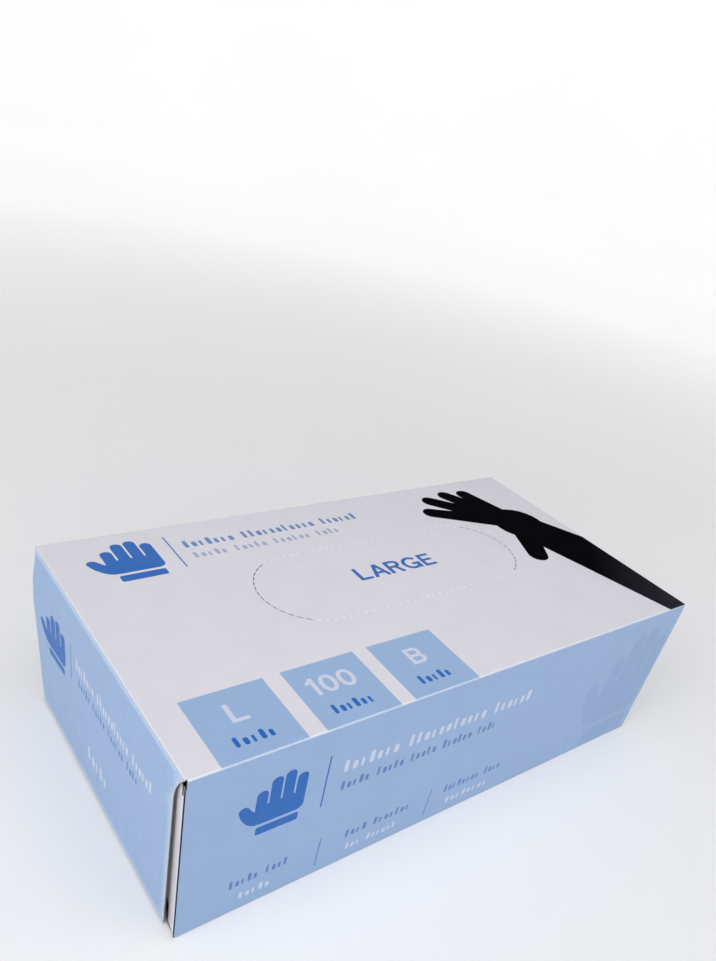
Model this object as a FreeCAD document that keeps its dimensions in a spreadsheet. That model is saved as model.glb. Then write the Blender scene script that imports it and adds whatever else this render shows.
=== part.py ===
import FreeCAD, Part
import math
import os
import Sketcher

# A dispensing carton of one hundred disposable gloves, lying on its bottom panel.
#
# The carton is one blank of cartonboard, creased into a tube of four panels with a glued seam, and closed
# at each end by an outer flap, an inner flap and two dust flaps. A slot-shaped panel in the top is cut
# free all round except for small ties, and tears out to give the dispensing opening. The gloves lie flat
# inside, cuffs to alternate ends, and the hundredth is bunched up under the opening, ready to be drawn.
#
# Frame: millimetres, origin at the middle of the base, +X along the length, -Y towards the front, +Z up.

SIZES = [
    # alias, value, meaning
    ("carton_length", 240.0, "outside, along X"),
    ("carton_width", 128.0, "outside, along Y"),
    ("carton_height", 75.0, "outside, along Z"),
    ("board", 0.45, "thickness of the cartonboard"),
    ("lap", 0.2, "gap between flaps that lap over each other"),
    ("seam_width", 14.0, "width of the side seam's glue flap"),
    ("seam_taper", 8.0, "how much shorter the glue flap's free edge is at each end"),
    ("seam_setback", 3.0, "glue flap's end to the dust flap"),
    ("glue_film", 0.1, "thickness of dried glue"),
    ("glue_margin", 2.5, "bare border round the seam's glue"),
    ("tear_length", 128.0, "length of the dispensing opening"),
    ("tear_width", 44.8, "width of the dispensing opening, whose ends are half circles"),
    ("tear_shift_right", 6.7, "opening's middle from the carton's middle, along X"),
    ("tear_shift_back", 5.4, "opening's middle from the carton's middle, along Y"),
    ("slit", 0.3, "width of the perforation's cut"),
    ("tie_width", 0.8, "width of a tie, along the cut"),
    ("tie_pitch", 3.4, "distance from tie to tie, along the cut"),
    ("tie_clearance", 0.08, "torn end of a tie to the tear-out panel"),
    ("outer_hinge_inset", 0.8, "outer flap's side at its crease, in from the carton's side"),
    ("shoulder_inset", 6.2, "outer flap's front side below its shoulder, in from the carton's side"),
    ("shoulder_depth", 14.0, "lower end of the outer flap's hollow shoulder, below the top of the carton"),
    ("shoulder_radius", 18.0, "radius of the outer flap's hollow shoulder"),
    ("outer_free_inset", 6.4, "outer flap's front side at its free edge, in from the carton's side"),
    ("outer_back_inset", 1.4, "outer flap's back side at its free edge, in from the carton's side"),
    ("outer_foot", 0.4, "outer flap's free edge above the base"),
    ("outer_round", 0.8, "corner radius of the outer flap's free edge"),
    ("inner_height", 24.0, "top of the inner flap above the base"),
    ("inner_hinge_inset", 7.6, "inner flap's side at its crease, in from the carton's side"),
    ("inner_free_inset", 12.0, "inner flap's side at its free edge, in from the carton's side"),
    ("fold_gap", 1.15, "dust flap's root to the inside of the panel it folds from"),
    ("dust_reach", 45.0, "dust flap's tip from the carton's side"),
    ("dust_shoulder", 7.7, "dust flap's upper edge at its root, below the top of the carton"),
    ("dust_notch", 2.6, "notch above the dust flap's root, from the carton's side"),
    ("dust_top", 2.2, "dust flap's highest point below the top of the carton"),
    ("dust_drop", 20.3, "how far a dust flap's upper edge falls on its way to the tip"),
    ("dust_foot", 1.0, "dust flap's root above the base"),
    ("dust_toe", 7.2, "inner side of the toe at a dust flap's root, from the carton's side"),
    ("dust_rise", 2.0, "how much higher than its distance from the carton's side the slope stays"),
    ("dust_elbow", 24.5, "upper end of the 45 degree slope under a dust flap, from the carton's side"),
    ("flap_round", 2.0, "corner radius of the inner and dust flaps"),
    ("strip_length", 70.0, "length of an end flap's glue strip"),
    ("strip_width", 5.0, "width of an end flap's glue strip"),
    ("strip_height", 8.0, "lower glue strip's lower edge above the base"),
    ("strip_pitch", 8.0, "distance from glue strip to glue strip"),
    ("glove_length", 230.0, "cuff to the middle fingertip, as packed"),
    ("cuff_width", 98.0, "flat width of a glove at its cuff"),
    ("wrist_width", 94.0, "flat width of a glove at the wrist"),
    ("wrist_place", 55.0, "wrist from the cuff"),
    ("palm_width", 106.0, "flat width of a glove across the palm"),
    ("palm_place", 115.0, "palm's full width from the cuff"),
    ("finger_gap", 2.4, "gap between two fingers"),
    ("crotch_place", 150.0, "roots of the fingers from the cuff"),
    ("index_short", 11.0, "index fingertip short of the middle one"),
    ("ring_short", 9.0, "ring fingertip short of the middle one"),
    ("little_short", 30.0, "little fingertip short of the middle one"),
    ("thumb_width", 26.0, "flat width of the folded thumb"),
    ("thumb_length", 72.0, "length of the folded thumb"),
    ("thumb_place", 92.0, "thumb's root from the cuff"),
    ("thumb_inset", 17.0, "thumb's root in from the palm's edge"),
    ("thumb_angle", 36.0, "how far the thumb is folded across the palm, in degrees"),
    ("two_films", 0.2, "thickness of a glove lying flat, two films of nitrile"),
    ("pile_base", 1.4, "underside of the lowest glove above the base"),
    ("pile_pitch", 0.6, "height from glove to glove in the pile"),
    ("pile_sway", 4.5, "how far gloves stray sideways in the pile"),
    ("pile_yaw", 1.1, "how far gloves turn in the pile, in degrees"),
    ("bunch_length", 98.0, "length of the bunched first glove"),
    ("bunch_width", 34.0, "width of the bunched first glove"),
    ("bunch_height", 6.2, "height of the bunched first glove"),
    ("bunch_base", 61.2, "underside of the bunched first glove above the base"),
    ("bunch_round", 2.6, "edge radius of the bunched first glove"),
]

GLOVES_IN_BUNDLE = 10
BUNDLES = 9
SINGLE_GLOVES = 9  # flat ones above the bundles; with the bunched one they make up the hundred
SWAY_STEP = 2.4  # radians between neighbours, so that no two lie alike
YAW_STEP = 1.7

HALF_LENGTH = "sizes.carton_length / 2"
HALF_WIDTH = "sizes.carton_width / 2"
INSIDE_WIDTH = "(sizes.carton_width / 2 - sizes.board)"
LAYER = "(sizes.board + sizes.lap)"
# Distance from the middle of the carton to the outside of each layer of an end closure.
OUTER_FACE = f"({HALF_LENGTH})"
INNER_FACE = f"({HALF_LENGTH} - {LAYER})"
DUST_FACE = f"({HALF_LENGTH} - 2 * {LAYER})"
DUST_INSIDE = f"({HALF_LENGTH} - 2 * {LAYER} - sizes.board)"

doc = FreeCAD.newDocument("glove_box")
sheet = doc.addObject("Spreadsheet::Sheet", "sizes")


def fill_sheet():
    for row, (alias, value, meaning) in enumerate(SIZES, start=1):
        sheet.set(f"A{row}", alias)
        sheet.set(f"B{row}", str(value))
        sheet.setAlias(f"B{row}", alias)
        sheet.set(f"C{row}", meaning)
    doc.recompute()


def size(alias):
    return float(sheet.get(alias))


def vector(x, y, z=0.0):
    return FreeCAD.Vector(x, y, z)


# Bodies made from sketches whose every dimension is bound to the sheet


def new_body(label):
    body = doc.addObject("PartDesign::Body", label)
    body.Label = label
    return body


def new_sketch(body, name, plane, height):
    """An empty sketch, height above one of the body's own origin planes."""
    sketch = body.newObject("Sketcher::SketchObject", name)
    found = [f for f in body.Origin.OriginFeatures if f.Role == plane]
    sketch.AttachmentSupport = [(found[0], "")]
    sketch.MapMode = "FlatFace"
    sketch.setExpression("AttachmentOffset.Base.z", height)
    return sketch


def bind(sketch, name, kind, geometry, point, expression):
    """Holds one coordinate of a sketch's point at an expression."""
    value = sheet.evalExpression(expression)
    number = sketch.addConstraint(Sketcher.Constraint(kind, -1, 1, geometry, point, float(value)))
    sketch.renameConstraint(number, name)
    sketch.setExpression(f"Constraints.{name}", expression)


def hollow_arc(start, end, radius):
    """The arc that hollows a side out, on a polygon whose corners run anticlockwise."""
    chord = end - start
    outward = vector(chord.y, -chord.x).normalize()
    centre = (start + end) / 2 + outward * math.sqrt(radius**2 - (chord.Length / 2) ** 2)
    angles = [math.atan2(p.y - centre.y, p.x - centre.x) for p in (end, start)]
    return Part.ArcOfCircle(Part.Circle(centre, vector(0, 0, 1), radius), *angles)


def draw_polygon(sketch, corners, hollows=()):
    """A closed polygon, each corner given as two expressions. The sides numbered in hollows are arcs."""
    places = [vector(sheet.evalExpression(x), sheet.evalExpression(y)) for x, y in corners]
    count = len(places)
    ends = []  # each side's point numbers at its first and second corner
    for i in range(count):
        start, end = places[i], places[(i + 1) % count]
        if i in hollows:
            sketch.addGeometry(hollow_arc(start, end, size("shoulder_radius")))
            ends.append((2, 1))
        else:
            sketch.addGeometry(Part.LineSegment(start, end))
            ends.append((1, 2))
    for i in range(count):
        after = (i + 1) % count
        sketch.addConstraint(Sketcher.Constraint("Coincident", i, ends[i][1], after, ends[after][0]))
    for i, (x, y) in enumerate(corners):
        bind(sketch, f"across{i}", "DistanceX", i, ends[i][0], x)
        bind(sketch, f"up{i}", "DistanceY", i, ends[i][0], y)
    for i in hollows:
        number = sketch.addConstraint(Sketcher.Constraint("Radius", i, size("shoulder_radius")))
        sketch.renameConstraint(number, f"hollow{i}")
        sketch.setExpression(f"Constraints.hollow{i}", "sizes.shoulder_radius")


def draw_slot(sketch, length, width):
    """A slot round the opening's middle: half-circle ends joined by two straight sides."""
    radius = float(sheet.evalExpression(f"({width}) / 2"))
    reach = f"(({length}) - ({width})) / 2"
    ends = [f"sizes.tear_shift_right - {reach}", f"sizes.tear_shift_right + {reach}"]
    left, right = [float(sheet.evalExpression(x)) for x in ends]
    middle = size("tear_shift_back")
    axis = vector(0, 0, 1)
    left_circle = Part.Circle(vector(left, middle), axis, radius)
    right_circle = Part.Circle(vector(right, middle), axis, radius)
    sketch.addGeometry(Part.ArcOfCircle(left_circle, math.pi / 2, math.pi * 3 / 2))
    sketch.addGeometry(Part.ArcOfCircle(right_circle, -math.pi / 2, math.pi / 2))
    sketch.addGeometry(Part.LineSegment(vector(left, middle - radius), vector(right, middle - radius)))
    sketch.addGeometry(Part.LineSegment(vector(right, middle + radius), vector(left, middle + radius)))
    for arc, arc_point, line, line_point in ((0, 2, 2, 1), (2, 2, 1, 1), (1, 2, 3, 1), (3, 2, 0, 1)):
        sketch.addConstraint(Sketcher.Constraint("Tangent", arc, arc_point, line, line_point))
    sketch.addConstraint(Sketcher.Constraint("Equal", 0, 1))
    for arc, end in enumerate(ends):
        bind(sketch, f"end{arc}", "DistanceX", arc, 3, end)
    bind(sketch, "middle", "DistanceY", 0, 3, "sizes.tear_shift_back")
    number = sketch.addConstraint(Sketcher.Constraint("Radius", 0, radius))
    sketch.renameConstraint(number, "round_end")
    sketch.setExpression("Constraints.round_end", f"({width}) / 2")


def pad(body, sketch, thickness):
    feature = body.newObject("PartDesign::Pad", f"{body.Label}_pad")
    feature.Profile = sketch
    feature.setExpression("Length", thickness)
    doc.recompute()
    return feature


def round_corners(body, base, numbers, corners, radius):
    """Fillets the edges that stand on the numbered corners of a padded flap."""
    names = []
    for number in numbers:
        across, up = [float(sheet.evalExpression(e)) for e in corners[number]]
        for i, edge in enumerate(base.Shape.Edges, start=1):
            places = [v.Point for v in edge.Vertexes]
            if all(math.hypot(p.y - across, p.z - up) < size("lap") / 2 for p in places):
                names.append(f"Edge{i}")
    fillet = body.newObject("PartDesign::Fillet", f"{body.Label}_rounds")
    fillet.Base = (base, names)
    fillet.setExpression("Radius", radius)
    doc.recompute()


def plate(label, plane, corners, height, thickness="sizes.board"):
    """A flat piece: a polygon on a plane, padded along the plane's normal."""
    body = new_body(label)
    sketch = new_sketch(body, f"{label}_outline", plane, height)
    draw_polygon(sketch, corners)
    pad(body, sketch, thickness)
    return body


def flap(label, corners, height, rounded, radius, hollows=()):
    """A plate across an end of the carton, with some corners rounded and some sides hollowed out."""
    body = new_body(label)
    sketch = new_sketch(body, f"{label}_outline", "YZ_Plane", height)
    draw_polygon(sketch, corners, hollows)
    base = pad(body, sketch, "sizes.board")
    round_corners(body, base, rounded, corners, radius)
    return body


def rectangle(across, low, high):
    """The corners of a rectangle that is even about the vertical axis of its plane."""
    return [(f"-({across})", low), (across, low), (across, high), (f"-({across})", high)]


# The tube: four panels and the side seam


def top_panel():
    top = "sizes.carton_height - sizes.board"
    body = plate("top_panel", "XY_Plane", rectangle(OUTER_FACE, f"-{INSIDE_WIDTH}", INSIDE_WIDTH), top)
    solid_volume = body.Shape.Volume
    sketch = new_sketch(body, "dispensing_opening", "XY_Plane", "sizes.carton_height")
    draw_slot(sketch, "sizes.tear_length", "sizes.tear_width")
    pocket = body.newObject("PartDesign::Pocket", "dispensing_cut")
    pocket.Profile = sketch
    pocket.Type = "ThroughAll"
    doc.recompute()
    if body.Shape.Volume > solid_volume * 0.9:
        raise RuntimeError("the dispensing opening was not cut")
    return body


def wall_panel(label, outside):
    """The front or back panel. The plane's normal is -Y, so heights on it grow towards the front."""
    corners = rectangle(OUTER_FACE, "0", "sizes.carton_height")
    return plate(label, "XZ_Plane", corners, outside)


def bottom_panel():
    corners = rectangle(INNER_FACE, f"-{INSIDE_WIDTH}", INSIDE_WIDTH)
    return plate("bottom_panel", "XY_Plane", corners, "0")


def glue_flap():
    """The seam's flap, creased from the back panel, lies on the bottom panel. Its free edge is shorter."""
    root = f"({DUST_INSIDE} - sizes.seam_setback)"
    tip = f"({root} - sizes.seam_taper)"
    free_edge = f"{INSIDE_WIDTH} - sizes.seam_width"
    corners = [(f"-{tip}", free_edge), (tip, free_edge), (root, INSIDE_WIDTH), (f"-{root}", INSIDE_WIDTH)]
    return plate("glue_flap", "XY_Plane", corners, "sizes.board + sizes.glue_film")


def seam_glue():
    across = f"{DUST_INSIDE} - sizes.seam_setback - sizes.seam_taper - sizes.glue_margin"
    low = f"{INSIDE_WIDTH} - sizes.seam_width + sizes.glue_margin"
    high = f"{INSIDE_WIDTH} - sizes.glue_margin"
    return plate("seam_glue", "XY_Plane", rectangle(across, low, high), "sizes.board", "sizes.glue_film")


# The end closures. Each is drawn on the YZ plane, whose normal is +X.


def layer_start(face, side):
    """Where a layer's pad starts, so that its outside lies at a distance from the middle."""
    return f"{face} - sizes.board" if side == "right" else f"-{face}"


def outer_flap(side):
    """Hangs from the top panel's end edge. Its front side steps in below a hollow shoulder."""
    top = f"sizes.carton_height - {LAYER}"
    waist = "sizes.carton_height - sizes.shoulder_depth"
    hinge = f"({HALF_WIDTH} - sizes.outer_hinge_inset)"
    shoulder = f"({HALF_WIDTH} - sizes.shoulder_inset)"
    free = f"({HALF_WIDTH} - sizes.outer_free_inset)"
    back = f"({HALF_WIDTH} - sizes.outer_back_inset)"
    front_side = [(f"-{hinge}", top), (f"-{shoulder}", waist), (f"-{free}", "sizes.outer_foot")]
    corners = front_side + [(back, "sizes.outer_foot"), (hinge, top)]
    start = layer_start(OUTER_FACE, side)
    return flap(f"{side}_outer_flap", corners, start, (2, 3), "sizes.outer_round", hollows=(0,))


def inner_flap(side):
    """Stands up from the bottom panel's end edge, behind the outer flap."""
    hinge = f"({HALF_WIDTH} - sizes.inner_hinge_inset)"
    free = f"({HALF_WIDTH} - sizes.inner_free_inset)"
    top = "sizes.inner_height"
    corners = [(f"-{hinge}", LAYER), (hinge, LAYER), (free, top), (f"-{free}", top)]
    start = layer_start(INNER_FACE, side)
    return flap(f"{side}_inner_flap", corners, start, (2, 3), "sizes.flap_round")


def dust_flap(side, wall):
    """Folds in from the front or back panel's end edge. Its slopes clear the other flaps as they all open."""
    sign = "-" if wall == "front" else ""
    root_inset = "(sizes.board + sizes.fold_gap)"
    root = f"{sign}({HALF_WIDTH} - {root_inset})"
    notch = f"{sign}({HALF_WIDTH} - sizes.dust_notch)"
    tip = f"{sign}({HALF_WIDTH} - sizes.dust_reach)"
    toe = f"{sign}({HALF_WIDTH} - sizes.dust_toe)"
    elbow = f"{sign}({HALF_WIDTH} - sizes.dust_elbow)"
    low = "sizes.dust_foot"
    heel = "(sizes.dust_toe + sizes.dust_rise)"
    level = "(sizes.dust_elbow + sizes.dust_rise)"
    shoulder = "(sizes.carton_height - sizes.dust_shoulder)"
    high = "(sizes.carton_height - sizes.dust_top)"
    lower = [(root, low), (toe, low), (toe, heel), (elbow, level), (tip, level)]
    upper = [(tip, f"{high} - sizes.dust_drop"), (notch, high), (notch, shoulder), (root, shoulder)]
    start = layer_start(DUST_FACE, side)
    label = f"{side}_{wall}_dust_flap"
    return flap(label, lower + upper, start, (4, 5, 6), "sizes.flap_round")


def flap_glue(side):
    """Two strips of dried glue on the outside of the inner flap, in the gap under the outer flap."""
    body = new_body(f"{side}_flap_glue")
    body.AllowCompound = True
    start = INNER_FACE if side == "right" else f"-({INNER_FACE} + sizes.glue_film)"
    for number in range(2):
        low = f"sizes.strip_height + {number} * sizes.strip_pitch"
        sketch = new_sketch(body, f"{side}_strip_{number}", "YZ_Plane", start)
        draw_polygon(sketch, rectangle("sizes.strip_length / 2", low, f"{low} + sizes.strip_width"))
        feature = body.newObject("PartDesign::Pad", f"{side}_strip_pad_{number}")
        feature.Profile = sketch
        feature.setExpression("Length", "sizes.glue_film")
        doc.recompute()
    return body


# The perforated panel in the top and the ties round it


def tear_out_panel():
    body = new_body("tear_out_panel")
    height = "sizes.carton_height - sizes.board"
    sketch = new_sketch(body, "tear_out_outline", "XY_Plane", height)
    draw_slot(sketch, "sizes.tear_length - 2 * sizes.slit", "sizes.tear_width - 2 * sizes.slit")
    pad(body, sketch, "sizes.board")
    return body


def slot_prism(inset):
    """The opening's slot, drawn in by an inset all round and as thick as the board."""
    radius = size("tear_width") / 2 - inset
    reach = (size("tear_length") - size("tear_width")) / 2
    middle = vector(size("tear_shift_right"), size("tear_shift_back"), size("carton_height") - size("board"))
    low_left = middle + vector(-reach, -radius)
    low_right = middle + vector(reach, -radius)
    high_right = middle + vector(reach, radius)
    high_left = middle + vector(-reach, radius)
    edges = [
        Part.makeLine(low_left, low_right),
        Part.Arc(low_right, middle + vector(reach + radius, 0), high_right).toShape(),
        Part.makeLine(high_right, high_left),
        Part.Arc(high_left, middle + vector(-reach - radius, 0), low_left).toShape(),
    ]
    return Part.Face(Part.Wire(edges)).extrude(vector(0, 0, size("board")))


def slot_stations(pitch):
    """Evenly spaced places round the opening's edge, each a point and the direction out of the slot."""
    radius = size("tear_width") / 2
    reach = (size("tear_length") - size("tear_width")) / 2
    middle = vector(size("tear_shift_right"), size("tear_shift_back"), size("carton_height") - size("board"))
    straight = 2 * reach
    round_end = math.pi * radius
    total = 2 * (straight + round_end)
    count = round(total / pitch)
    stations = []
    for i in range(count):
        along = (i + 0.5) * total / count
        half = 1 if along < total / 2 else -1  # the first half runs along the front side and the right end
        along %= total / 2
        if along < straight:
            point = vector(half * (along - reach), -half * radius)
            out = vector(0, -half)
        else:
            turn = (along - straight) / radius - math.pi / 2
            out = vector(half * math.cos(turn), half * math.sin(turn))
            point = vector(half * reach, 0) + out * radius
        stations.append((middle + point, out))
    return stations


def perforation_ties():
    """The small bridges left between the perforation's cuts, as they stand on the top panel's edge."""
    ring = slot_prism(0).cut(slot_prism(size("slit") - size("tie_clearance")))
    cutters = []
    for point, out in slot_stations(size("tie_pitch")):
        cutter = Part.makeBox(2 * size("slit"), size("tie_width"), size("board"))
        cutter.translate(vector(-size("slit"), -size("tie_width") / 2))
        cutter.rotate(vector(0, 0), vector(0, 0, 1), math.degrees(math.atan2(out.y, out.x)))
        cutter.translate(point)
        cutters.append(cutter)
    feature = doc.addObject("Part::Feature", "perforation_ties")
    feature.Label = "perforation_ties"
    feature.Shape = ring.common(Part.makeCompound(cutters))
    return feature


# The gloves


def fingertip(tip, low, high):
    """A finger's round end, from its lower side to its upper side."""
    radius = (high - low) / 2
    start = vector(tip - radius, low)
    end = vector(tip - radius, high)
    return Part.Arc(start, vector(tip, (low + high) / 2), end)


def crotch(root, low, high):
    """The round bottom of the gap between two fingers."""
    radius = (high - low) / 2
    return Part.Arc(vector(root + radius, low), vector(root, (low + high) / 2), vector(root + radius, high))


def flat_glove():
    """A glove lying flat, cuff at the origin and fingers along +X, with its thumb folded over the palm."""
    length = size("glove_length")
    palm = size("palm_width") / 2
    gap = size("finger_gap")
    width = (2 * palm - 3 * gap) / 4
    tips = [length - size(a) for a in ("little_short", "ring_short")] + [length, length - size("index_short")]
    curves = []
    for number, tip in enumerate(tips):
        low = -palm + number * (width + gap)
        if number:
            curves.append(crotch(size("crotch_place"), low - gap, low))
        curves.append(fingertip(tip, low, low + width))
    cuff = size("cuff_width") / 2
    wrist = size("wrist_width") / 2
    lower_side = Part.Arc(
        vector(0, -cuff), vector(size("wrist_place"), -wrist), vector(size("palm_place"), -palm)
    )
    upper_side = Part.Arc(
        vector(size("palm_place"), palm), vector(size("wrist_place"), wrist), vector(0, cuff)
    )
    curves = [lower_side] + curves + [upper_side]
    edges = []
    for number, curve in enumerate(curves):
        after = curves[(number + 1) % len(curves)]
        edges += [curve.toShape(), Part.makeLine(curve.EndPoint, after.StartPoint)]
    film = size("two_films")
    hand = Part.Face(Part.Wire(edges)).extrude(vector(0, 0, film))
    return hand.fuse(folded_thumb(film)).removeSplitter()


def folded_thumb(film):
    """The thumb, drawn along +X from its root and then turned across the palm."""
    width = size("thumb_width")
    reach = size("thumb_length") - width
    tip = fingertip(reach + width / 2, -width / 2, width / 2)
    root = Part.Arc(vector(0, width / 2), vector(-width / 2, 0), vector(0, -width / 2))
    sides = [
        Part.makeLine(root.EndPoint, tip.StartPoint),
        Part.makeLine(tip.EndPoint, root.StartPoint),
    ]
    outline = Part.Wire([root.toShape(), sides[0], tip.toShape(), sides[1]])
    thumb = Part.Face(outline).extrude(vector(0, 0, film))
    thumb.rotate(vector(0, 0), vector(0, 0, 1), -size("thumb_angle"))
    thumb.translate(vector(size("thumb_place"), size("palm_width") / 2 - size("thumb_inset"), film))
    return thumb


def packed_glove(pattern, number):
    """Glove number in the pile, counted from 0 at the bottom: cuffs lie at alternate ends, a little askew."""
    glove = pattern.copy()
    glove.translate(vector(-size("glove_length") / 2, 0))
    half_turn = 180 * (number % 2)
    askew = size("pile_yaw") * math.sin(YAW_STEP * number)
    glove.rotate(vector(0, 0), vector(0, 0, 1), half_turn + askew)
    sway = size("pile_sway") * math.sin(SWAY_STEP * number)
    glove.translate(vector(0, sway, size("pile_base") + number * size("pile_pitch")))
    return glove


def glove_feature(label, shape):
    feature = doc.addObject("Part::Feature", label)
    feature.Label = label
    feature.Shape = shape
    return feature


def glove_pile():
    """Nine bundles of ten, one node each, and then the nine flat gloves that are used first, one by one."""
    pattern = flat_glove()
    features = []
    for bundle in range(BUNDLES):
        first = bundle * GLOVES_IN_BUNDLE
        gloves = [packed_glove(pattern, first + i) for i in range(GLOVES_IN_BUNDLE)]
        features.append(glove_feature(f"glove_bundle_{bundle + 1:02d}", Part.makeCompound(gloves)))
    for i in range(SINGLE_GLOVES):
        number = BUNDLES * GLOVES_IN_BUNDLE + i
        features.append(glove_feature(f"glove_{number + 1:03d}", packed_glove(pattern, number)))
    return features


def first_glove():
    """The uppermost glove, bunched up under the opening so that it can be pinched and drawn out."""
    width = size("bunch_width")
    reach = (size("bunch_length") - width) / 2
    left = Part.Arc(vector(-reach, width / 2), vector(-reach - width / 2, 0), vector(-reach, -width / 2))
    right = fingertip(reach + width / 2, -width / 2, width / 2)
    sides = [
        Part.makeLine(left.EndPoint, right.StartPoint),
        Part.makeLine(right.EndPoint, left.StartPoint),
    ]
    outline = Part.Wire([left.toShape(), sides[0], right.toShape(), sides[1]])
    bunch = Part.Face(outline).extrude(vector(0, 0, size("bunch_height")))
    level_edges = [e for e in bunch.Edges if abs(e.BoundBox.ZLength) < size("bunch_round")]
    bunch = bunch.makeFillet(size("bunch_round"), level_edges)
    bunch.translate(vector(size("tear_shift_right"), size("tear_shift_back"), size("bunch_base")))
    return glove_feature("glove_100_first", bunch)


def build():
    fill_sheet()
    pieces = [
        top_panel(),
        wall_panel("front_panel", INSIDE_WIDTH),
        bottom_panel(),
        wall_panel("back_panel", f"-{HALF_WIDTH}"),
        glue_flap(),
        seam_glue(),
        tear_out_panel(),
        perforation_ties(),
    ]
    for side in ("left", "right"):
        pieces += [outer_flap(side), inner_flap(side), flap_glue(side)]
        pieces += [dust_flap(side, "front"), dust_flap(side, "back")]
    pieces += glove_pile()
    pieces.append(first_glove())
    doc.recompute()
    return pieces


def check(pieces):
    broken = [o.Name for o in doc.Objects if {"Invalid", "Error"} & set(o.State)]
    bad = [p.Label for p in pieces if p.Shape.isNull() or not p.Shape.isValid() or not p.Shape.Solids]
    if broken or bad:
        raise RuntimeError(f"failed objects {broken}, bad shapes {bad}")


def export(pieces):
    os.makedirs("parts", exist_ok=True)
    for piece in pieces:
        piece.Shape.exportStep(os.path.join("parts", f"{piece.Label}.step"))


PIECES = build()
check(PIECES)
export(PIECES)
print(f"{len(PIECES)} nodes, {sum(len(p.Shape.Solids) for p in PIECES)} solids")
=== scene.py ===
"""Looks of the glove carton: printed and creased cartonboard, a perforated dispensing panel, and the gloves.

Lengths here are millimetres and become metres when a mesh is made. Each side of the carton has its own
flat coordinates, as seen from outside: across to the right and down from the top left corner.
"""

import math

import bmesh
import bpy
import numpy as np
from mathutils import Matrix, Vector
from mathutils.geometry import delaunay_2d_cdt


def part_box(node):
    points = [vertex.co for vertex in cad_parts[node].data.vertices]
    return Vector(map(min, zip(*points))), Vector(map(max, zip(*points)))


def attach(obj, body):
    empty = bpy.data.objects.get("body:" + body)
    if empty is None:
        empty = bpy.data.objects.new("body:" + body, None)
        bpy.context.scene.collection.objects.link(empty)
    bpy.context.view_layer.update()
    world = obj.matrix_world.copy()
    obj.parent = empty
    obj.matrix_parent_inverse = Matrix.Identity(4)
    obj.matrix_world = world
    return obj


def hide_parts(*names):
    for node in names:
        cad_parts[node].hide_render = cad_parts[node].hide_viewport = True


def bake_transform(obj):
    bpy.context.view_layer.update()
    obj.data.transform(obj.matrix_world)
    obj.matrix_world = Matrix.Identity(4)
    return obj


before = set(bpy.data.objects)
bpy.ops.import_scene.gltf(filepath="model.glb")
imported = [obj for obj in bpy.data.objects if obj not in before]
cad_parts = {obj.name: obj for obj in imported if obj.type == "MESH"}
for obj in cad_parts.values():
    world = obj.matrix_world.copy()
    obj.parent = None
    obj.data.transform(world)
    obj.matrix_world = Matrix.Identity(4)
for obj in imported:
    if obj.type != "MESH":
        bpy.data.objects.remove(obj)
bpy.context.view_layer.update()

MM = 0.001


def box(node):
    """A CAD node's lowest and highest corner, in millimetres."""
    return [np.round(np.array(corner) / MM, 3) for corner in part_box(node)]


LENGTH, WIDTH, HEIGHT = 2 * box("top_panel")[1][0], 2 * box("back_panel")[1][1], box("top_panel")[1][2]
BOARD = HEIGHT - box("top_panel")[0][2]
CREASE = 0.6  # outer radius of a crease
HALF_CREASE = math.pi / 4  # a fixed crease is shared by its two panels
WHOLE_CREASE = math.pi / 2
INNER_INSET = 7.6  # side of an inner flap's crease, from the carton's side
TEAR_LOW, TEAR_HIGH = box("tear_out_panel")
SLIT = 0.14  # width of the cut as it shows; the board springs back into it
TIE_WIDTH, TIE_PITCH = 0.8, 3.4
CAD_SLIT = 0.3  # the opening is this much wider than the tear-out panel, all round

# ----------------------------------------
# Materials


def linear(red, green, blue):
    """A colour on the 0 to 255 screen scale, as the linear colour that a shader takes."""
    shares = [c / 255 for c in (red, green, blue)]
    return [s / 12.92 if s <= 0.04045 else ((s + 0.055) / 1.055) ** 2.4 for s in shares] + [1.0]


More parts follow.
